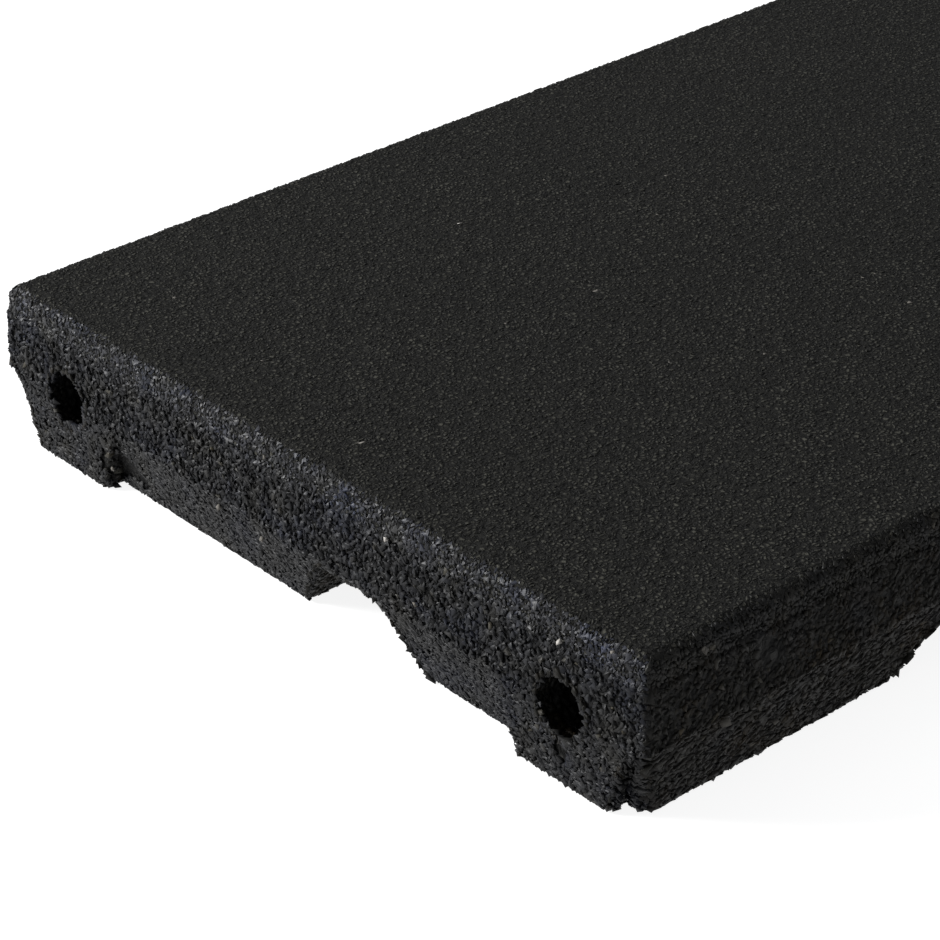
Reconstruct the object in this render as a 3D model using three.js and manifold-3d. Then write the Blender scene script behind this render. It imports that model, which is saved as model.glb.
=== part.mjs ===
import * as THREE from 'three';
import { mergeVertices } from 'three/addons/utils/BufferGeometryUtils.js';
import Module from 'manifold-3d';

// A playground tile pressed in one piece from rubber granules, in millimetres.
// X runs along the tile, Y across it and Z up. The origin is on the floor, under the
// middle of the tile. The width and the length are those at the widest height.

// Overall size
const length = 1000;
const width = 250;
const thickness = 45;
const cornerRadius = 2;
const footCornerRadius = 4;

// Edge section: it leans out from the top edge down to the widest height. A long side
// steps in there and leans in to the foot, and an end leans in from a lower height.
const widestHeight = 21;
const upperLean = 0.9;
const footLean = 5.5;
const sideStep = 0.8;
const stepSlope = 0.4;
const endLeanHeight = 20;
const footRound = 1;
const topEdgeRadius = 3.5;
const topEdgeSteps = 4;

// The finer granules of the top lie on a narrow ledge of the coarse ones.
const topLayer = 8;
const ledge = 0.5;
const ledgeSlope = 0.5;

// Blind holes for the dowels that join one tile to the next, two in each end
const dowelDiameter = 16;
const dowelDepth = 50;
const dowelSideDistance = 28;
const dowelHeight = 20.5;
const dowelSides = 32;

// A boss round each dowel hole stands upright where the rest of the end leans in. Its
// reach is measured from the dowel's axis to either flank.
const bossFootReach = 15;
const bossTopReach = 23;
const bossDepth = 14;
const bossCornerRadius = 2;

// Drainage channels under the tile: one along it, and a row of wider, lower ones across it
const lengthwiseArch = { footWidth: 46, topWidth: 23, height: 18 };
const crosswiseArch = { footWidth: 56, topWidth: 20, height: 15 };
const channelRound = 5;
const channelSideDistance = 104.5;
const channelEndDistance = 112;
const channelSpacing = 200;

const cornerSteps = 5;
const shoulderSteps = 5;
const overshoot = 5;

const blackRubber = new THREE.MeshStandardMaterial({ color: 0x1c1d1c, roughness: 0.88, metalness: 0 });

const wasm = await Module();
wasm.setup();

// Corner points of a rectangle with rounded corners, anticlockwise
function roundedRectangle(xMin, xMax, yMin, yMax, radius) {
  const centres = [
    [xMax - radius, yMin + radius, -Math.PI / 2],
    [xMax - radius, yMax - radius, 0],
    [xMin + radius, yMax - radius, Math.PI / 2],
    [xMin + radius, yMin + radius, Math.PI],
  ];
  return centres.flatMap(([x, y, start]) =>
    Array.from({ length: cornerSteps + 1 }, (_, step) => {
      const angle = start + (Math.PI / 2) * (step / cornerSteps);
      return new THREE.Vector2(x + radius * Math.cos(angle), y + radius * Math.sin(angle));
    }),
  );
}

// Closed skin through convex outlines of equal point counts, from the lowest level up
function loft(levels) {
  const count = levels[0].outline.length;
  const positions = levels.flatMap(({ z, outline }) => outline.flatMap(({ x, y }) => [x, y, z]));
  const faces = [];
  for (let level = 0; level < levels.length - 1; level++) {
    for (let i = 0; i < count; i++) {
      const a = level * count + i;
      const b = level * count + ((i + 1) % count);
      faces.push(a, b, b + count, a, b + count, a + count);
    }
  }
  const top = (levels.length - 1) * count;
  for (let i = 1; i < count - 1; i++) {
    faces.push(0, i + 1, i);
    faces.push(top, top + i, top + i + 1);
  }
  const geometry = new THREE.BufferGeometry();
  geometry.setAttribute('position', new THREE.Float32BufferAttribute(positions, 3));
  geometry.setIndex(faces);
  return geometry;
}

function toSolid(geometry) {
  const bare = geometry.clone();
  bare.deleteAttribute('normal');
  bare.deleteAttribute('uv');
  const merged = mergeVertices(bare, 1e-4);
  return new wasm.Manifold(
    new wasm.Mesh({
      numProp: 3,
      vertProperties: new Float32Array(merged.attributes.position.array),
      triVerts: new Uint32Array(merged.index.array),
    }),
  );
}

function toGeometry(solid) {
  const { vertProperties, triVerts } = solid.getMesh();
  const geometry = new THREE.BufferGeometry();
  geometry.setAttribute('position', new THREE.BufferAttribute(vertProperties, 3));
  geometry.setIndex(new THREE.BufferAttribute(triVerts, 1));
  geometry.computeVertexNormals();
  return geometry;
}

// How far the ends and the long sides stand in below the widest height
function lowerSection() {
  const endInset = (z) => footLean * Math.max(0, 1 - z / endLeanHeight);
  const sideInset = (z) => footLean + ((sideStep - footLean) * z) / widestHeight;
  const heights = [footRound, endLeanHeight, widestHeight - stepSlope];
  return [
    { z: 0, end: footLean + footRound, side: footLean + footRound },
    ...heights.map((z) => ({ z, end: endInset(z), side: sideInset(z) })),
  ];
}

// How far all four sides stand in from the widest height up
function upperSection() {
  const ledgeHeight = thickness - topLayer;
  const leanAt = (z) => (upperLean * (z - widestHeight)) / (thickness - widestHeight);
  const section = [
    { z: widestHeight, inset: 0 },
    { z: ledgeHeight, inset: leanAt(ledgeHeight) },
    { z: ledgeHeight + ledgeSlope, inset: leanAt(ledgeHeight) + ledge },
  ];
  for (let step = 0; step <= topEdgeSteps; step++) {
    const angle = (Math.PI / 2) * (step / topEdgeSteps);
    section.push({
      z: thickness - topEdgeRadius + topEdgeRadius * Math.sin(angle),
      inset: upperLean + ledge + topEdgeRadius * (1 - Math.cos(angle)),
    });
  }
  return section;
}

function makeSlab() {
  const levelOf = (z, end, side, radius) => {
    const x = length / 2 - end;
    const y = width / 2 - side;
    return { z, outline: roundedRectangle(-x, x, -y, y, radius) };
  };
  return toSolid(loft([
    ...lowerSection().map(({ z, end, side }) => levelOf(z, end, side, footCornerRadius)),
    ...upperSection().map(({ z, inset }) => levelOf(z, inset, inset, cornerRadius)),
  ]));
}

// The boss keeps the end's full length down to the foot, and its flanks spread upwards
// to the height where the end starts to lean in.
function makeBoss(endSign, sideSign) {
  const dowelY = sideSign * (width / 2 - dowelSideDistance);
  const buried = 2;
  const levels = [
    { z: 0, reach: bossFootReach, front: footRound },
    { z: footRound, reach: bossFootReach + footRound, front: 0 },
    { z: endLeanHeight, reach: bossTopReach, front: 0 },
    { z: endLeanHeight + buried, reach: bossTopReach - buried, front: buried },
  ].map(({ z, reach, front }) => {
    const back = endSign * (length / 2 - bossDepth);
    const face = endSign * (length / 2 - front);
    return {
      z,
      outline: roundedRectangle(
        Math.min(back, face), Math.max(back, face), dowelY - reach, dowelY + reach, bossCornerRadius),
    };
  });
  return toSolid(loft(levels));
}

function makeDowelHole(endSign, sideSign) {
  const hole = new THREE.CylinderGeometry(
    dowelDiameter / 2, dowelDiameter / 2, dowelDepth + overshoot, dowelSides);
  hole.rotateZ(Math.PI / 2);
  const middle = length / 2 - (dowelDepth - overshoot) / 2;
  hole.translate(endSign * middle, sideSign * (width / 2 - dowelSideDistance), dowelHeight);
  return toSolid(hole);
}

// Arch of a channel, open at the foot: walls that lean together, with rounded shoulders
function channelArch({ footWidth, topWidth, height }) {
  const slope = Math.atan2(height, (footWidth - topWidth) / 2);
  const footX = footWidth / 2 + overshoot / Math.tan(slope);
  const shoulderX = topWidth / 2 - channelRound * Math.tan(slope / 2);
  const shoulderZ = height - channelRound;
  const wallNormal = Math.PI / 2 - slope;
  const arch = new THREE.Shape();
  arch.moveTo(-footX, -overshoot);
  arch.lineTo(footX, -overshoot);
  arch.absarc(shoulderX, shoulderZ, channelRound, wallNormal, Math.PI / 2, false);
  arch.absarc(-shoulderX, shoulderZ, channelRound, Math.PI / 2, Math.PI - wallNormal, false);
  return arch;
}

// Channel cutter of a given length, lying along Y with its middle at the origin
function channelRunOf(span, arch) {
  const run = span + 2 * overshoot;
  const channel = new THREE.ExtrudeGeometry(channelArch(arch), {
    depth: run,
    bevelEnabled: false,
    curveSegments: shoulderSteps,
  });
  channel.translate(0, 0, -run / 2);
  channel.rotateX(Math.PI / 2);
  return channel;
}

function makeLengthwiseChannel() {
  const channel = channelRunOf(length, lengthwiseArch);
  channel.rotateZ(Math.PI / 2);
  channel.translate(0, channelSideDistance - width / 2, 0);
  return toSolid(channel);
}

function makeCrosswiseChannel(x) {
  const channel = channelRunOf(width, crosswiseArch);
  channel.translate(x, 0, 0);
  return toSolid(channel);
}

function makeTile() {
  let tile = makeSlab();
  for (const endSign of [-1, 1]) {
    for (const sideSign of [-1, 1]) {
      tile = tile.add(makeBoss(endSign, sideSign));
    }
  }
  tile = tile.subtract(makeLengthwiseChannel());
  const channelRun = length - 2 * channelEndDistance;
  const gaps = Math.max(1, Math.round(channelRun / channelSpacing));
  for (let i = 0; i <= gaps; i++) {
    tile = tile.subtract(makeCrosswiseChannel(channelRun * (i / gaps - 0.5)));
  }
  for (const endSign of [-1, 1]) {
    for (const sideSign of [-1, 1]) {
      tile = tile.subtract(makeDowelHole(endSign, sideSign));
    }
  }
  const mesh = new THREE.Mesh(toGeometry(tile), blackRubber);
  mesh.name = 'tile';
  return mesh;
}

const playgroundTile = new THREE.Group();
playgroundTile.add(makeTile());

export default playgroundTile;
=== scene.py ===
import math
import bpy
import numpy as np
from mathutils import Euler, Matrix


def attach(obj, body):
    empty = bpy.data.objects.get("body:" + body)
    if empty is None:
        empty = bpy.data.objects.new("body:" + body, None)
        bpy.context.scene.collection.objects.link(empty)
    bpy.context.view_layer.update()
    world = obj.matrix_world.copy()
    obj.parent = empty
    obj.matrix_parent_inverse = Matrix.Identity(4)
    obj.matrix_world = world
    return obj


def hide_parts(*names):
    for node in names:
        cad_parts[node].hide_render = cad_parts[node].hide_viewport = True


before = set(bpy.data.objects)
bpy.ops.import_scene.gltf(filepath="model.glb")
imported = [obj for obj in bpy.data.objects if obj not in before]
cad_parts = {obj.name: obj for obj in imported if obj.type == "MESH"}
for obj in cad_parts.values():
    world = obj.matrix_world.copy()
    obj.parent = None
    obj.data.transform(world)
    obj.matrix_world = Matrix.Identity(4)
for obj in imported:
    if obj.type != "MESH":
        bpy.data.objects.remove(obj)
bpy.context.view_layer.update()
mm = 0.001


# The pressed core is one block of coarse tyre crumb, moulded with its dowel bosses and
# drainage channels. Only its loose outer crumbs are pieces of their own, so the core
# is the solid drawn in by the depth of the gaps between them.
core_gap, side_gap, core_under_top = 0.95 * mm, 0.5 * mm, 1.0 * mm
most_drawn_in = 2.6 * mm
most_face_weight = (4 * mm) ** 2
coarse_grain = 2.4 * mm
core_bump, core_tilt = 0.5 * mm, 0.9
core_dark, core_light = (0.005, 0.005, 0.005), (0.022, 0.0215, 0.0195)
pressed_sheen, rubber_ior = 0.1, 1.5
middle_grey = (0.5, 0.5, 0.5)


class Wire:
    """A socket of a material's nodes, on which plus, minus and times add Math nodes."""

    def __init__(self, tree, socket=None):
        self.tree, self.socket = tree, socket

    def node(self, kind, settings=None, sockets=None, out=0):
        made = self.tree.nodes.new(kind)
        for name, value in (settings or {}).items():
            if name == "stops":
                ramp = made.color_ramp.elements
                for index, (place, colour) in enumerate(value):
                    stop = ramp[index] if index < 2 else ramp.new(place)
                    stop.position, stop.color = place, (*colour, 1.0)
            else:
                setattr(made, name, value)
        for name, value in (sockets or {}).items():
            if isinstance(value, Wire):
                self.tree.links.new(value.socket, made.inputs[name])
            else:
                made.inputs[name].default_value = value
        return Wire(self.tree, made.outputs[out] if made.outputs else None)

    def maths(self, operation, first, second):
        return self.node("ShaderNodeMath", {"operation": operation}, {0: first, 1: second})

    def __add__(self, other):
        return self.maths("ADD", self, other)

    def __sub__(self, other):
        return self.maths("SUBTRACT", self, other)

    def __rsub__(self, other):
        return self.maths("SUBTRACT", other, self)

    def __mul__(self, other):
        return self.maths("MULTIPLY", self, other)

    __radd__ = __add__
    __rmul__ = __mul__


def start_material(name):
    """An empty material, and a wire that its nodes are added with."""
    material = bpy.data.materials.new(name)
    material.use_nodes = True
    material.node_tree.nodes.clear()
    return material, Wire(material.node_tree)


def finish_material(wires, constants, changing):
    """The shader: constants are set on its sockets, and changing ones are wired."""
    shader = wires.node("ShaderNodeBsdfPrincipled", None, {**constants, **changing})
    wires.node("ShaderNodeOutputMaterial", None, {"Surface": shader})


def blend(wires, share, first, second, way="MIX"):
    """A colour between two others, by a share from 0 to 1, or their product by that share."""
    return wires.node("ShaderNodeMix", {"data_type": "RGBA", "blend_type": way}, {
        0: share, 6: first, 7: second}, 2)


def noise(wires, place, scale, detail, out=0):
    """Cloudy noise about 0.5, or as a colour with out=1. Its scale is in cycles a metre."""
    return wires.node("ShaderNodeTexNoise", None, {"Vector": place, "Scale": scale, "Detail": detail}, out)


def vector_maths(wires, operation, *values):
    """One Vector Math node on up to three vectors."""
    return wires.node("ShaderNodeVectorMath", {"operation": operation}, dict(enumerate(values)))


def pressed_rubber(name, grain, dark, light, tilt, depth):
    """Crumbs pressed against a mould: cells of the grain's size, each with its own shade
    and its own slight tilt, parted by narrow gaps and pits, under soft patches of tone.
    The gaps and pits are also darkened in the colour, which is painted shade."""
    material, wires = start_material(name)
    place = wires.node("ShaderNodeTexCoord", out="Object")
    wander = noise(wires, place, 0.9 / grain, 2.0, out=1)
    wander = vector_maths(wires, "SUBTRACT", wander, middle_grey)
    bent = vector_maths(wires, "MULTIPLY_ADD", wander, (0.9 * grain,) * 3, place)
    cell = wires.node("ShaderNodeTexVoronoi", None, {"Vector": bent, "Scale": 1 / grain}, 1)
    shade = wires.node("ShaderNodeSeparateColor", None, {"Color": cell})
    sheen = Wire(wires.tree, shade.socket.node.outputs["Green"])
    edge = wires.node("ShaderNodeTexVoronoi", {"feature": "DISTANCE_TO_EDGE"}, {
        "Vector": bent, "Scale": 1 / grain})
    gap = wires.node("ShaderNodeMapRange", {"interpolation_type": "SMOOTHSTEP"}, {
        "Value": edge, "From Min": 0.04, "From Max": 0.36})
    speckle = noise(wires, place, 3.2 / grain, 3.0)
    patches = noise(wires, place, 28.0, 3.0)
    clots = noise(wires, place, 170.0, 2.0)
    tone = shade * 0.7 + patches * 0.6 + clots * 0.6 + speckle * 0.4 - 0.65
    colour = blend(wires, tone, (*dark, 1.0), (*light, 1.0))
    pits = wires.node("ShaderNodeMapRange", None, {
        "Value": noise(wires, bent, 0.75 / grain, 1.0), "From Min": 0.38, "From Max": 0.5})
    # Painted shade: the gaps and pits get a colour near black, as if shadowed, besides their dip in the bump.
    painted_pit_shade = (*(0.18 * part for part in dark), 1.0)
    colour = blend(wires, pits, painted_pit_shade, colour)
    colour = blend(wires, gap, painted_pit_shade, colour)
    height = gap * 0.7 + pits * 0.6 + speckle * 0.35 + shade * 0.5
    lean = vector_maths(wires, "SUBTRACT", cell, middle_grey)
    upright = wires.node("ShaderNodeNewGeometry", out="Normal")
    facet = vector_maths(wires, "NORMALIZE", vector_maths(wires, "MULTIPLY_ADD", lean, (tilt,) * 3, upright))
    bump = wires.node("ShaderNodeBump", None, {
        "Strength": 1.0, "Distance": depth, "Height": height, "Normal": facet})
    finish_material(wires, {"Specular IOR Level": pressed_sheen, "IOR": rubber_ior}, {
        "Base Color": colour, "Roughness": sheen * 0.3 + 0.5, "Normal": bump})
    return material


def make_piece(name, points, face_groups, material, tone=None):
    """A mesh from points and groups of faces, each group an array of equal faces. Chips,
    which are the pieces with a tone, are shaded smooth as worn crumbs are."""
    mesh = bpy.data.meshes.new(name)
    mesh.vertices.add(len(points))
    mesh.vertices.foreach_set("co", np.ascontiguousarray(points, np.float32).ravel())
    sizes = np.concatenate([np.full(len(group), group.shape[1]) for group in face_groups])
    corners = np.concatenate([group.ravel() for group in face_groups])
    mesh.loops.add(len(corners))
    mesh.loops.foreach_set("vertex_index", corners.astype(np.int32))
    mesh.polygons.add(len(sizes))
    starts = np.concatenate([[0], np.cumsum(sizes)[:-1]])
    mesh.polygons.foreach_set("loop_start", starts.astype(np.int32))
    mesh.update(calc_edges=True)
    mesh.validate()
    mesh.shade_flat()
    if tone is not None:
        mesh.shade_smooth()
        mesh.attributes.new("tone", "FLOAT", "POINT").data.foreach_set("value", tone.astype(np.float32))
    mesh.materials.append(material)
    piece = bpy.data.objects.new(name, mesh)
    bpy.context.scene.collection.objects.link(piece)
    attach(piece, "root")
    return piece


def drawn_in(points, faces):
    """Each point moves by the shortest step that brings the planes of all its faces in by
    their own depths: the least squares answer of normal times step equals minus depth.
    The depth is one value on the top, none under the feet, one value on steep faces that
    look along the tile's width, and another on all the rest."""
    a, b, c = (points[faces[:, k]] for k in range(3))
    normal = np.cross(b - a, c - a)
    area = np.linalg.norm(normal, axis=1, keepdims=True)
    normal = normal / np.maximum(area, 1e-15)
    level = 0.99
    depth = np.select([normal[:, 2] > level, normal[:, 2] < -level, np.abs(normal[:, 1]) > 0.7],
                      [core_under_top, 0.0, side_gap], core_gap)
    weight = np.minimum(area[:, 0], most_face_weight)
    squares = np.zeros((len(points), 3, 3))
    pull = np.zeros((len(points), 3))
    for corner in range(3):
        np.add.at(squares, faces[:, corner], weight[:, None, None] * normal[:, :, None] * normal[:, None, :])
        np.add.at(pull, faces[:, corner], -(weight * depth)[:, None] * normal)
    step = np.einsum("nij,nj->ni", np.linalg.pinv(squares, rcond=0.02, hermitian=True), pull)
    far = np.linalg.norm(step, axis=1, keepdims=True)
    return points + step * np.minimum(1, most_drawn_in / np.maximum(far, 1e-12))


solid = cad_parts["tile"].data
loose = np.empty(len(solid.vertices) * 3)
solid.vertices.foreach_get("co", loose)
loose = loose.reshape(-1, 3)
solid.calc_loop_triangles()
triangles = np.empty(len(solid.loop_triangles) * 3, np.int32)
solid.loop_triangles.foreach_get("vertices", triangles)
core_points, shared = np.unique(np.round(loose, 6), axis=0, return_inverse=True)
core_faces = shared.ravel()[triangles].reshape(-1, 3)
alike = (core_faces == np.roll(core_faces, 1, axis=1)).any(axis=1)
core_faces = core_faces[~alike]
core_points = drawn_in(core_points, core_faces)
core_rubber = pressed_rubber("core_rubber", coarse_grain, core_dark, core_light, core_tilt, core_bump)
core = make_piece("pressed_core", core_points, [core_faces], core_rubber)
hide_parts("tile")


# The fine top is a thinner layer of small crumbs, laid into the mould first and pressed
# together with the coarse ones. It is smooth and level, with a rounded edge that stands
# in a little from the coarse layer under it.
half_length, half_width, top_height = 500 * mm, 125 * mm, 45 * mm
corner_radius, foot_corner_radius, bend_radius = 2 * mm, 4 * mm, 3 * mm
ledge_height, ledge_inset = 37.5 * mm, 1.1 * mm
round_height, round_inset, round_radius = 41.5 * mm, 1.4 * mm, 3.5 * mm
fine_gap, hidden_height = 0.5 * mm, 36.5 * mm
fine_grain, fine_bump, fine_tilt = 1.25 * mm, 0.8 * mm, 1.0
top_dark, top_light = (0.0160, 0.0157, 0.0128), (0.0520, 0.0510, 0.0420)


def outline(along, end_inset, side_inset, radius):
    """A rectangle with rounded corners. The centre of its corner circle walks from corner
    to corner while the circle's angle waits, then waits while the angle turns. along is in
    metres from the right end's front corner, anticlockwise. Gives x, y and the angle."""
    stops = np.cumsum([0, bend_length, end_length, bend_length, side_length,
                       bend_length, end_length, bend_length, side_length])
    along = np.mod(along, stops[-1])
    across_x = np.interp(along, stops, [1, 1, 1, 1, -1, -1, -1, -1, 1])
    across_y = np.interp(along, stops, [-1, -1, 1, 1, 1, 1, -1, -1, -1])
    angle = np.interp(along, stops, np.radians([-90, 0, 0, 90, 90, 180, 180, 270, 270]))
    x = across_x * (half_length - end_inset - radius) + radius * np.cos(angle)
    y = across_y * (half_width - side_inset - radius) + radius * np.sin(angle)
    return x, y, angle


bend_length = bend_radius * math.pi / 2
end_length, side_length = 2 * (half_width - bend_radius), 2 * (half_length - bend_radius)
round_about = 4 * bend_length + 2 * end_length + 2 * side_length
side_starts = {"right": bend_length / 2, "back": 1.5 * bend_length + end_length,
               "left": 2.5 * bend_length + end_length + side_length,
               "front": 3.5 * bend_length + 2 * end_length + side_length}
bend_steps = 6
corner_walk = np.concatenate([
    start + np.linspace(-0.5, 0.5, bend_steps + 1) * bend_length for start in side_starts.values()])
front_middle = 4 * bend_length + 2 * end_length + 1.5 * side_length
back_middle = 2 * bend_length + end_length + 0.5 * side_length
halves = np.array([-0.5, 0, 0.5]) * half_length
walk = np.sort(np.mod(np.concatenate([
    corner_walk, front_middle + halves, back_middle - halves]), round_about))
round_angles = np.radians(np.linspace(0, 90, 7))
gap_across, gap_up = fine_gap * np.cos(round_angles), fine_gap * np.sin(round_angles) * np.cos(round_angles)
top_inset = np.concatenate([
    [ledge_inset + 2 * fine_gap, ledge_inset + fine_gap],
    round_inset + round_radius * (1 - np.cos(round_angles)) + gap_across])
top_z = np.concatenate([
    [hidden_height, ledge_height],
    round_height + round_radius * np.sin(round_angles) - gap_up])
rings = [np.stack([*outline(walk, inset, inset, corner_radius)[:2], np.full(len(walk), z)], axis=1)
         for inset, z in zip(top_inset, top_z)]
top_points = np.concatenate(rings)
count = len(walk)
step_on = np.roll(np.arange(count), -1)
level = np.arange(len(rings) - 1)[:, None] * count
rim_faces = np.stack([level + np.arange(count), level + step_on, level + count + step_on,
                      level + count + np.arange(count)], axis=-1).reshape(-1, 4)
last = (len(rings) - 1) * count
bottom_face = np.arange(count)[::-1][None]
cut = [int(np.argmin(np.abs(walk - np.mod(spot, round_about))))
       for spot in (*(back_middle - halves), *(front_middle + halves))]
back_cut, front_cut = cut[:3], cut[3:]


def loop_between(first, second):
    """The corners of the top's outline from one place on the walk on to another."""
    return last + np.mod(np.arange(first, first + (second - first) % count + 1), count)


back_places = sorted(back_cut, key=lambda i: top_points[last + i, 0])
front_places = sorted(front_cut, key=lambda i: top_points[last + i, 0])
squares = [loop_between(back_places[0], front_places[0])]
for left, right in ((0, 1), (1, 2)):
    squares.append(np.array([last + front_places[left], last + front_places[right],
                             last + back_places[right], last + back_places[left]]))
squares.append(loop_between(front_places[2], back_places[2]))
top_rubber = pressed_rubber("top_rubber", fine_grain, top_dark, top_light, fine_tilt, fine_bump)
top_faces = [rim_faces, bottom_face] + [square[None] for square in squares]
make_piece("fine_top", top_points, top_faces, top_rubber)


# The crumbs of the coarse layer are torn tyre rubber, glued where they touch, and stand
# free along the sides. Each is a small angular chip with its outer side on the mould's
# face, and gaps between them show the dark core.
widest_height, foot_round = 21 * mm, 1 * mm
section_z = np.array([0.0, 1.0, 20.0, 20.6, 21.0, 37.0, 37.6, 38.6]) * mm
side_inset = np.array([6.5, 5.28, 1.02, 0.89, 0.0, 0.6, 0.9, 1.3]) * mm
end_inset = np.array([6.5, 5.22, 0.0, 0.0, 0.0, 0.6, 0.9, 1.3]) * mm
side_pitch, side_chip = 1.3 * mm, 2.0 * mm
coarse_pitch, coarse_chip = 1.12 * mm, 1.75 * mm
pressed_sink, free_sink = 0.2 * mm, 0.8 * mm
pressed_tilt, free_tilt, pressed_stretch = 0.25, 0.7, 1.35
# The second value darkens the tones of the ends' lower, leaning band of chips: painted shade.
side_calm, leaning_painted_shade = 0.55, 0.45
dowel_y, dowel_z, dowel_radius = 97 * mm, 20.5 * mm, 8 * mm
boss_height, boss_depth, boss_radius = 20 * mm, 14 * mm, 2 * mm
boss_foot_reach, boss_top_reach = 15 * mm, 23 * mm
channel_y, channel_xs = -20.5 * mm, np.array([-388, -194, 0, 194, 388]) * mm
mouth_depth, mouth_spare, hole_overlap = 12 * mm, 0.2 * mm, 0.4 * mm
arches = {"x": np.array([[23.0, 13.0, 11.8, 8.76, 0.0], [0.0, 15.69, 17.1, 18.0, 18.0]]) * mm,
          "y": np.array([[28.0, 11.39, 9.9, 8.19, 0.0], [0.0, 13.84, 14.7, 15.0, 15.0]]) * mm}
broken_away = np.array([
    (-497, 79, 9, 5), (-497, 74, 8, 4), (-497, 69, 6, 3), (-462, -125, 33, 3.2),
    (-459, -125, 31, 2.4), (-500, -97, 9, 2.6), (496, -72, 10, 4), (212, 125, 33, 3),
    (-118, -125, 17, 2.6), (340, -125, 29, 3)]) * mm
tear_scale, tear_depth = 1900.0, 0.1 * mm
palest_chip = (0.03, 0.028, 0.022)
# Painted light: the ends' copy of the torn rubber is bluish and reaches lighter chips, standing in for the
# lamp's bluish light on the ends; the long sides' copy is browner and duller, standing in for their shade and
# the light the floor throws up.
lit_end_dark, lit_end_light = (0.0027, 0.0027, 0.0029), (0.0094, 0.0098, 0.0113)
end_tints = ((0.95, 1.05, 1.5), (1.35, 1.25, 0.95))
shaded_side_dark, shaded_side_light = (0.0042, 0.0039, 0.0032), (0.0066, 0.0062, 0.0050)
side_tints = ((0.9, 1.0, 1.4), (1.35, 1.1, 0.8))


def chip_rubber(name, dark, light, shine, tints, facets):
    """Torn rubber: each chip keeps one shade from its own tone, over a fine tear grain and
    patches of two tints. Its normal is a mix of the smooth one and the flat facet's, with
    facets the share of the flat one."""
    material, wires = start_material(name)
    place = wires.node("ShaderNodeTexCoord", out="Object")
    tone = wires.node("ShaderNodeAttribute", {"attribute_name": "tone"}, out="Fac")
    tear = noise(wires, place, tear_scale, 3.0)
    between = tuple(0.6 * a + 0.4 * b for a, b in zip(dark, light))
    shades = wires.node("ShaderNodeValToRGB", {"stops": (
        (0.0, dark), (0.45, between), (0.85, light), (0.97, tuple(1.5 * part for part in light)),
        (0.9992, palest_chip))}, {"Fac": tone})
    colour = blend(wires, tear * 0.5, shades, (*dark, 1.0))
    for tint, scale, shift in zip(tints, (70.0, 110.0), (0.0, 3.7)):
        patch = noise(wires, vector_maths(wires, "ADD", place, (shift,) * 3), scale, 1.0)
        share = wires.node("ShaderNodeMapRange", None, {"Value": patch, "From Min": 0.5, "From Max": 0.72})
        colour = blend(wires, share, colour, blend(wires, 1.0, colour, (*tint, 1.0), "MULTIPLY"))
    smooth = wires.node("ShaderNodeNewGeometry", out="Normal")
    flat = Wire(wires.tree, smooth.socket.node.outputs["True Normal"])
    normal = wires.node("ShaderNodeMix", {"data_type": "VECTOR"}, {0: facets, 4: smooth, 5: flat}, 1)
    bump = wires.node("ShaderNodeBump", None, {
        "Strength": 0.6, "Distance": tear_depth, "Height": tear,
        "Normal": vector_maths(wires, "NORMALIZE", normal)})
    finish_material(wires, {"Specular IOR Level": shine, "IOR": rubber_ior}, {
        "Base Color": colour, "Roughness": tear * 0.4 + 0.3, "Normal": bump})
    return material


chip_turns = np.radians([90, 210, 330, 150, 270, 30])
chip_corners = np.stack([np.cos(chip_turns), np.sin(chip_turns), np.repeat([1.0, -1.0], 3)], axis=1)
chip_faces = np.array([
    [0, 1, 2], [5, 4, 3], [0, 3, 1], [1, 4, 2], [2, 5, 0], [1, 3, 4], [2, 4, 5], [0, 5, 3]])
corner_jitter, size_spread, half_sizes, chip_flatness = 0.45, 0.24, (0.36, 0.6), 0.55


def unit(vectors):
    """Vectors brought to length one."""
    return vectors / np.maximum(np.linalg.norm(vectors, axis=-1, keepdims=True), 1e-12)


def chips(places, outward, size, rng, deepest, tilt, stretch=1.0):
    """Two triangles turned against each other and joined by a belt of six, with jittered
    corners, one at each place: scaled, spun about the outward direction, tilted, then
    moved in until the outermost corner is at the face less a random depth. Stretched ones
    are drawn out along the tile's outline. Nothing passes the floor or the solid's box."""
    n = len(places)
    stretch = np.broadcast_to(stretch, n)[:, None]
    shape = chip_corners + rng.uniform(-corner_jitter, corner_jitter, (n, 6, 3))
    shape = shape * (size * np.exp(rng.normal(0, size_spread, (n, 1, 1)))
                     * rng.uniform(*half_sizes, (n, 1, 3)) * np.array([1, 1, chip_flatness]))
    lean = unit(outward + np.reshape(tilt, (-1, 1)) * rng.normal(0, 0.5, (n, 3)))
    upwards = np.array([0.0, 0.0, 1.0]) * (stretch - 1) * 5 + unit(rng.normal(0, 1, (n, 3)))
    first = unit(np.cross(lean, upwards))
    second = np.cross(lean, first)
    turned = (shape[..., :1] * (first * stretch)[:, None]
              + shape[..., 1:2] * (second / stretch ** 0.5)[:, None] + shape[..., 2:] * lean[:, None])
    reach = np.einsum("nkj,nj->nk", turned, outward).max(axis=1)
    sunk = reach + rng.uniform(0, 1, n) ** 2 * deepest
    points = places[:, None] + turned - sunk[:, None, None] * outward[:, None]
    low = np.array([-half_length, -half_width, 0.02 * mm])
    high = np.array([half_length, half_width, top_height])
    points = np.clip(points, low, high).reshape(-1, 3)
    faces = (np.arange(n)[:, None, None] * 6 + chip_faces).reshape(-1, 3)
    return points, faces, np.repeat(rng.uniform(0, 1, n), 6)


def section_length(insets, heights):
    """The length along a section from its start to each of its points."""
    return np.concatenate([[0], np.cumsum(np.hypot(np.diff(insets), np.diff(heights)))])


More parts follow.
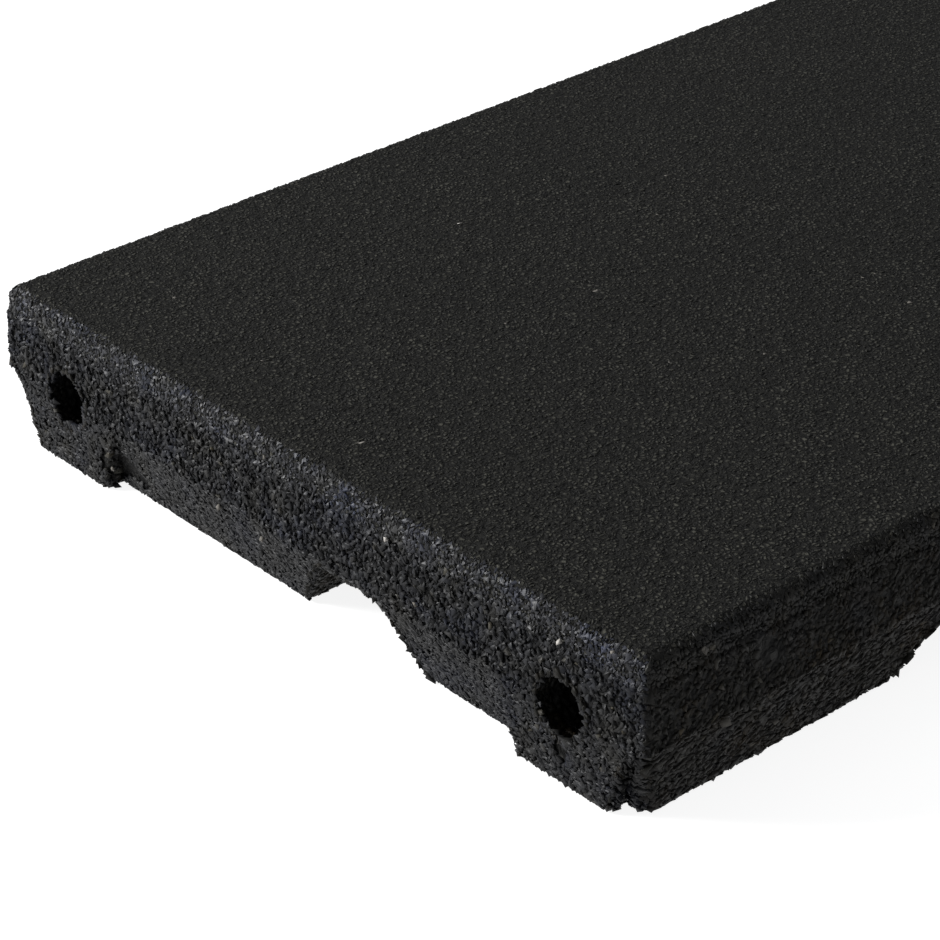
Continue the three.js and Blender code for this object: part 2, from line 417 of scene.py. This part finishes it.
def profile(reach, insets, heights):
    """A point of a section by its length from the section's start, as inset and height,
    with the outward direction there from the slope over a short stretch."""
    lengths = section_length(insets, heights)
    nearby = 0.5 * mm
    ahead, behind = np.minimum(reach + nearby, lengths[-1]), np.maximum(reach - nearby, 0)
    rise = np.interp(ahead, lengths, heights) - np.interp(behind, lengths, heights)
    out = np.interp(behind, lengths, insets) - np.interp(ahead, lengths, insets)
    length = np.maximum(np.hypot(rise, out), 1e-9)
    inset, height = np.interp(reach, lengths, insets), np.interp(reach, lengths, heights)
    return inset, height, rise / length, -out / length


def lattice(width, height, pitch, rng):
    """Rows of places over a width and a height, each pushed about inside its own cell."""
    columns, rows = max(1, round(width / pitch)), max(1, round(height / pitch))
    u, v = np.meshgrid(np.arange(columns), np.arange(rows))
    u = (u + 0.5 * (v % 2) + rng.uniform(0.1, 0.9, u.shape)) / columns
    v = (v + rng.uniform(0.1, 0.9, v.shape)) / rows
    return (u * width).ravel(), (v * height).ravel()


def band(start, span, insets, heights, ends, sides, pitch, rng):
    """A section carried along the outline: places and outward directions of a lattice
    whose one side is the way along the outline and whose other is the section. ends and
    sides are the insets of the ends and the long sides at the section's heights."""
    lengths = section_length(insets, heights)
    along, up = lattice(span, lengths[-1], pitch, rng)
    z, level, rise = profile(up, insets, heights)[1:]
    radius = np.where(z < widest_height, foot_corner_radius, corner_radius)
    x, y, angle = outline(
        start + along, np.interp(up, lengths, ends), np.interp(up, lengths, sides), radius)
    places = np.stack([x, y, z], axis=1)
    outward = np.stack([np.cos(angle) * level, np.sin(angle) * level, rise], axis=1)
    return places, outward


def boss_reach(z):
    """How far a boss spreads to either side of its dowel hole at a height."""
    return np.interp(z, [0, foot_round, boss_height],
                     [boss_foot_reach, boss_foot_reach + foot_round, boss_top_reach])


def rounded_off(depth):
    """How far the rounding of a boss's upright corner falls back at a depth from its face
    or flank: the radius less the height of the circle over that depth."""
    missing = np.clip(boss_radius - depth, 0, boss_radius)
    return boss_radius - np.sqrt(boss_radius ** 2 - missing ** 2)


def onto_bosses(places, outward):
    """Places on an end that lie in front of a boss move out to the boss's face."""
    x, y, z = places.T
    within = boss_reach(z) - np.abs(np.abs(y) - dowel_y)
    face = half_length - rounded_off(within) - np.maximum(foot_round - z, 0)
    moved = ((within > 0) & (z < boss_height) & (np.abs(x) > half_length - boss_depth)
             & (face > np.abs(x)))
    places, outward = places.copy(), outward.copy()
    places[moved, 0] = np.sign(x[moved]) * face[moved]
    outward[moved] = unit(np.stack([
        np.sign(x[moved]), 0 * x[moved], 0.15 * (z[moved] / boss_height - 1)], axis=1))
    return places, outward


def clear_of_openings(places):
    """True for places outside the channels' arches and the dowel holes."""
    x, y, z = places.T
    open_half = {way: np.where(z > up[-1], -1, np.interp(z, up[:4], half[:4]) + mouth_spare)
                 for way, (half, up) in arches.items()}
    at_end, at_side = np.abs(x) > half_length - mouth_depth, np.abs(y) > half_width - mouth_depth
    in_long = at_end & (np.abs(y - channel_y) < open_half["x"])
    in_cross = at_side & (np.abs(x[:, None] - channel_xs).min(axis=1) < open_half["y"])
    in_dowel = at_end & (np.hypot(np.abs(y) - dowel_y, z - dowel_z) < dowel_radius - hole_overlap)
    return ~(in_long | in_cross | in_dowel)


def whole(places):
    """True for places outside the spots where crumbs have broken away, each a ball."""
    lost = np.linalg.norm(places[:, None] - broken_away[:, :3], axis=2) < broken_away[:, 3]
    return ~lost.any(axis=1)


# Two copies of one crumb rubber, lit for the ends and shaded for the long sides: painted light and shade.
lit_end_rubber = chip_rubber("lit_end_rubber", lit_end_dark, lit_end_light, 0.13, end_tints, 0.65)
shaded_side_rubber = chip_rubber("shaded_side_rubber", shaded_side_dark, shaded_side_light, 0.07, side_tints, 0.4)
spans = {"right": end_length + bend_length, "back": side_length + bend_length,
         "left": end_length + bend_length, "front": side_length + bend_length}
for seed, (side, start) in enumerate(side_starts.items(), 11):
    rng = np.random.default_rng(seed)
    at_end = side in ("left", "right")
    if at_end:
        own, pitch, size, lowest_free, calm = end_inset, coarse_pitch, coarse_chip, boss_height, 1.0
    else:
        own, pitch, size, lowest_free, calm = side_inset, side_pitch, side_chip, widest_height, side_calm
    places, outward = onto_bosses(*band(
        start, spans[side], own, section_z, end_inset, side_inset, pitch, rng))
    kept = clear_of_openings(places) & whole(places)
    places, outward = places[kept], outward[kept]
    pressed = places[:, 2] < lowest_free
    points, faces, tone = chips(
        places, outward, size, rng, np.where(pressed, pressed_sink, free_sink * calm),
        np.where(pressed, pressed_tilt, free_tilt * calm), np.where(pressed, pressed_stretch, 1.0))
    if at_end:
        # Painted shade: chips of the ends' lower band, which leans in and faces down, are given darker tones.
        leaning = pressed & (np.abs(places[:, 0]) < half_length)
        tone = tone * np.repeat(np.where(leaning, leaning_painted_shade, 1.0), 6)
    make_piece("coarse_crumbs_" + side, points, [faces], lit_end_rubber if at_end else shaded_side_rubber, tone)


# The flanks of the bosses, the mouths of the dowel holes and the first stretch of the
# drainage channels are the same torn crumbs, pressed against the mould's pins and ribs.
lining_depth, hole_lining_depth, flank_depth = 32 * mm, 5 * mm, 7 * mm
lining_sink, lining_tilt, flank_slope = 0.4 * mm, 0.4, 0.6
rng = np.random.default_rng(31)
inner_places, inner_outward = [], []
for end in (-1, 1):
    for side in (-1, 1):
        for flank in (-1, 1):
            deep, z = lattice(flank_depth, boss_height, side_pitch, rng)
            shown = deep < np.interp(z, section_z, end_inset)
            deep, z = deep[shown], z[shown]
            y = side * dowel_y + flank * (boss_reach(z) - rounded_off(deep))
            inner_places.append(np.stack([end * (half_length - deep), y, z], axis=1))
            inner_outward.append(unit(np.tile([0.0, flank, -flank_slope], (len(z), 1))))
        turn, deep = lattice(2 * math.pi * dowel_radius, hole_lining_depth, side_pitch, rng)
        turn = turn / dowel_radius
        inner_places.append(np.stack([
            end * (half_length - deep), side * dowel_y + dowel_radius * np.cos(turn),
            dowel_z + dowel_radius * np.sin(turn)], axis=1))
        inner_outward.append(np.stack([0 * turn, -np.cos(turn), -np.sin(turn)], axis=1))
mouths = [(end, "x", channel_y) for end in (-1, 1)] + [(end, "y", x) for end in (-1, 1) for x in channel_xs]
for end, axis, middle in mouths:
    half_arch, rise_arch = arches[axis]
    arch_across = np.concatenate([half_arch, -half_arch[-2::-1]])
    arch_up = np.concatenate([rise_arch, rise_arch[-2::-1]])
    round_arch = section_length(arch_across, arch_up)[-1]
    up, deep = lattice(round_arch, lining_depth, side_pitch, rng)
    across, z, level, rise = profile(up, -arch_across, arch_up)
    half, inset, order = (half_length, end_inset, (0, 1)) if axis == "x" else (half_width, side_inset, (1, 0))
    far = end * (half - np.interp(z, section_z, inset) - deep)
    flat = np.stack([far, middle - across], axis=1)[:, order]
    turned = np.stack([0 * up, -level], axis=1)[:, order]
    inner_places.append(np.column_stack([flat, z]))
    inner_outward.append(np.column_stack([turned, -rise]))
inner_places, inner_outward = np.concatenate(inner_places), np.concatenate(inner_outward)
# The linings take the long sides' shaded copy of the rubber: painted shade in the openings.
points, faces, tone = chips(inner_places, inner_outward, side_chip, rng, lining_sink, lining_tilt)
make_piece("opening_crumbs", points, [faces], shaded_side_rubber, tone)


# The rounded edge of the fine top is the same small crumb as the top, but it was pressed
# less hard there, so its crumbs stand free and catch the light. On the ends they are painted
# lighter and bluish, a painted highlight of the lamp along that edge, and on the long sides
# darker, as painted shade.
fine_pitch, fine_chip, fine_sink = 0.95 * mm, 1.45 * mm, 0.3 * mm
end_edge_tilt, side_edge_tilt = 0.8, 0.35
lit_end_edge_dark, lit_end_edge_light = (0.0035, 0.0036, 0.0044), (0.0150, 0.0158, 0.0205)
end_edge_tints = ((0.9, 1.05, 1.5), (1.2, 1.15, 0.9))
shaded_side_edge_dark, shaded_side_edge_light = (0.0035, 0.0034, 0.0030), (0.0110, 0.0106, 0.0090)
side_edge_tints = ((0.95, 1.0, 1.2), (1.2, 1.1, 0.9))
edge_angles = np.radians(np.linspace(0, 72, 8))
edge_inset = np.concatenate([[ledge_inset - 0.5 * mm, ledge_inset],
                             round_inset + round_radius * (1 - np.cos(edge_angles))])
edge_z = np.concatenate([[ledge_height - 0.3 * mm, ledge_height],
                         round_height + round_radius * np.sin(edge_angles)])
lit_end_edge_rubber = chip_rubber("lit_end_edge_rubber", lit_end_edge_dark, lit_end_edge_light, 0.22, end_edge_tints, 0.8)
shaded_side_edge_rubber = chip_rubber(
    "shaded_side_edge_rubber", shaded_side_edge_dark, shaded_side_edge_light, 0.12, side_edge_tints, 0.5)
for seed, (side, start) in enumerate(side_starts.items(), 21):
    rng = np.random.default_rng(seed)
    places, outward = band(start, spans[side], edge_inset, edge_z, edge_inset, edge_inset, fine_pitch, rng)
    at_end = side in ("left", "right")
    rubber, tilt = (lit_end_edge_rubber, end_edge_tilt) if at_end else (shaded_side_edge_rubber, side_edge_tilt)
    points, faces, tone = chips(places, outward, fine_chip, rng, fine_sink, tilt)
    make_piece("fine_crumbs_" + side, points, [faces], rubber, tone)


# The camera stands in front of the tile's left end and looks down on it. Its place, its
# angles and its lens were solved from the tile's edges and holes in the photograph.
lens, sensor = 121.85, 36.0
camera_place = (-0.8875, -0.5345, 0.4253)
camera_angles = (59.638, 1.503, -40.634)
lens_data = bpy.data.cameras.new("camera")
lens_data.lens, lens_data.sensor_width = lens, sensor
camera = bpy.data.objects.new("camera", lens_data)
camera.location = camera_place
camera.rotation_euler = Euler([math.radians(angle) for angle in camera_angles])
bpy.context.scene.collection.objects.link(camera)
bpy.context.scene.camera = camera


# Among the black crumbs are a few of other rubber or grit, pale ones that were pressed
# flat into the top and larger bright ones that caught on the end and the front side.
# They are placed by the pixels where the photograph shows them.
camera_turn = np.array(camera.rotation_euler.to_matrix())
photo_size = 940


def looking_through(pixels):
    """The directions from the camera through the photograph's pixels, as unit vectors."""
    spot = (np.asarray(pixels, float) + 0.5 - photo_size / 2) / photo_size * sensor / lens
    return unit(np.column_stack([spot[:, 0], -spot[:, 1], np.full(len(spot), -1.0)]) @ camera_turn.T)


def on_plane(pixels, axis, level):
    """Where those directions meet the plane on which one coordinate has a given level."""
    away = looking_through(pixels)
    place = np.array(camera_place)
    return place + away * ((level - place[axis]) / away[:, axis])[:, None]


bright_top = [(458, 222)]
clear_top = [(668, 362), (544, 179), (364, 441), (354, 443), (863, 277)]
faint_top = [(666, 174), (657, 214), (677, 213), (855, 204), (825, 267), (876, 273), (914, 288), (909, 302),
             (597, 290), (505, 323), (486, 340), (765, 353), (262, 360), (175, 297)]
bright_end = [(384, 539), (557, 643)]
clear_end = [(413, 605), (260, 539), (263, 457), (216, 507), (111, 469), (611, 652)]
faint_front = [(707, 650), (728, 723), (806, 695), (776, 722)]
speck_kinds = (
    (bright_top, 2, top_height, 1.15), (clear_top, 2, top_height, 0.62), (faint_top, 2, top_height, 0.4),
    (bright_end, 0, -half_length, 1.15), (clear_end, 0, -half_length, 0.55),
    (faint_front, 1, -half_width, 0.16))
speck_dull, speck_middle, speck_pale = (0.02, 0.019, 0.017), (0.13, 0.12, 0.105), (0.42, 0.40, 0.37)
speck_dirt = (0.02, 0.018, 0.015, 1.0)
speck_tilt, speck_stands_out = 0.25, 0.12 * mm
speck_rubber, wires = start_material("pale_crumb")
speck_tone = wires.node("ShaderNodeAttribute", {"attribute_name": "tone"}, out="Fac")
speck_grain = noise(wires, wires.node("ShaderNodeTexCoord", out="Object"), 1500.0, 2.0)
speck_colour = wires.node("ShaderNodeValToRGB", {"stops": (
    (0.0, speck_dull), (0.6, speck_middle), (1.0, speck_pale))}, {"Fac": speck_tone})
finish_material(wires, {"Roughness": 0.75, "Specular IOR Level": 0.25, "IOR": rubber_ior}, {
    "Base Color": blend(wires, speck_grain * 0.7, speck_colour, speck_dirt),
    "Normal": wires.node("ShaderNodeBump", None, {
        "Strength": 0.6, "Distance": tear_depth, "Height": speck_grain})})
rng = np.random.default_rng(41)
speck_places = np.concatenate([on_plane(pixels, axis, level) for pixels, axis, level, _ in speck_kinds])
speck_outward = np.concatenate([
    np.repeat([np.sign(level) * np.eye(3)[axis]], len(pixels), axis=0)
    for pixels, axis, level, _ in speck_kinds])
speck_shade = np.concatenate([np.full(len(pixels), shade) for pixels, _, _, shade in speck_kinds])
speck_shade = speck_shade * rng.uniform(0.85, 1.15, len(speck_shade))
speck_size = rng.uniform(1.2, 1.8, len(speck_shade)) * mm
points, faces, _ = chips(speck_places, speck_outward, speck_size[:, None, None], rng, 0.0, speck_tilt)
points = points + np.repeat(speck_outward, 6, axis=0) * speck_stands_out
make_piece("pale_crumbs", points, [faces], speck_rubber, np.repeat(speck_shade, 6))


# The tile lies on a pale lit table, under one large soft lamp from the left that rakes
# the end face, and a weak even light from all round.
floor_size, under = 8.0, -0.2 * mm
floor_grey, floor_white, floor_glow = (0.25, 0.25, 0.25, 1.0), (1.0, 1.0, 1.0, 1.0), 0.88
sky_colour, sky_strength = (0.95, 0.97, 1.0, 1.0), 0.42
table = bpy.data.meshes.new("table")
table.from_pydata([(x * floor_size, y * floor_size, under) for x, y in ((-1, -1), (1, -1), (1, 1), (-1, 1))],
                  [], [(0, 1, 2, 3)])
floor = bpy.data.objects.new("table", table)
bpy.context.scene.collection.objects.link(floor)
white, wires = start_material("pale_table")
finish_material(wires, {"Base Color": floor_grey, "Roughness": 1.0, "Specular IOR Level": 0.0,
                        "Emission Color": floor_white, "Emission Strength": floor_glow}, {})
table.materials.append(white)

world = bpy.data.worlds.new("studio")
world.use_nodes = True
world.node_tree.nodes["Background"].inputs["Color"].default_value = sky_colour
world.node_tree.nodes["Background"].inputs["Strength"].default_value = sky_strength
bpy.context.scene.world = world
bpy.context.scene.view_settings.view_transform = "Standard"


def soft_lamp(name, place, aim, size, power):
    """A square lamp at a place, turned to face a point."""
    lamp = bpy.data.lights.new(name, "AREA")
    lamp.shape, lamp.size, lamp.energy = "SQUARE", size, power
    stand = bpy.data.objects.new(name, lamp)
    bpy.context.scene.collection.objects.link(stand)
    away = np.array(place) - np.array(aim)
    level = math.hypot(away[0], away[1])
    stand.rotation_euler = (math.atan2(level, away[2]), 0, math.atan2(away[1], away[0]) + math.pi / 2)
    stand.location = place


soft_lamp("key_lamp", (-1.9, 1.35, 1.1), (-0.4, 0.0, 0.0), 0.8, 118)
soft_lamp("top_lamp", (0.3, 0.9, 2.4), (-0.3, 0.0, 0.0), 1.6, 8)
